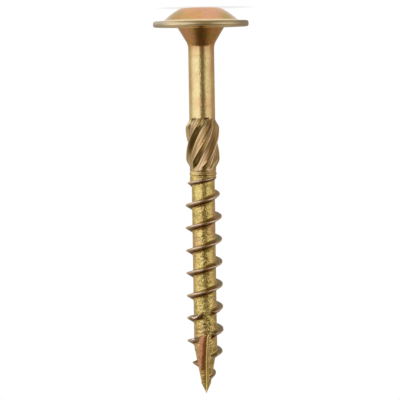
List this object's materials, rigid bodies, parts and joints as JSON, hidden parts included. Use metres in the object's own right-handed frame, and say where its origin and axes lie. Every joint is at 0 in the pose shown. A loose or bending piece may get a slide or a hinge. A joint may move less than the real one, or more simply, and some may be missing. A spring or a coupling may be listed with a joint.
{
  "type": "washer head construction screw",
  "caption": "Timber screw with a domed washer head, six-lobe recess, plain shank, helical cutting ribs, coarse right-hand thread and a notched self-drilling point.",
  "frame": {"origin": "centre of the flat on top of the head, which the screw stands on", "axes": "+Z along the screw's axis, from the head towards the point"},
  "size_m": [0.0206, 0.0206, 0.0841],
  "materials": {
    "yellow_zinc": "yellow chromated zinc plating, satin with a mottled sheen"
  },
  "bodies": {
    "root": {"screw": "yellow_zinc"}
  },
  "joints": []
}
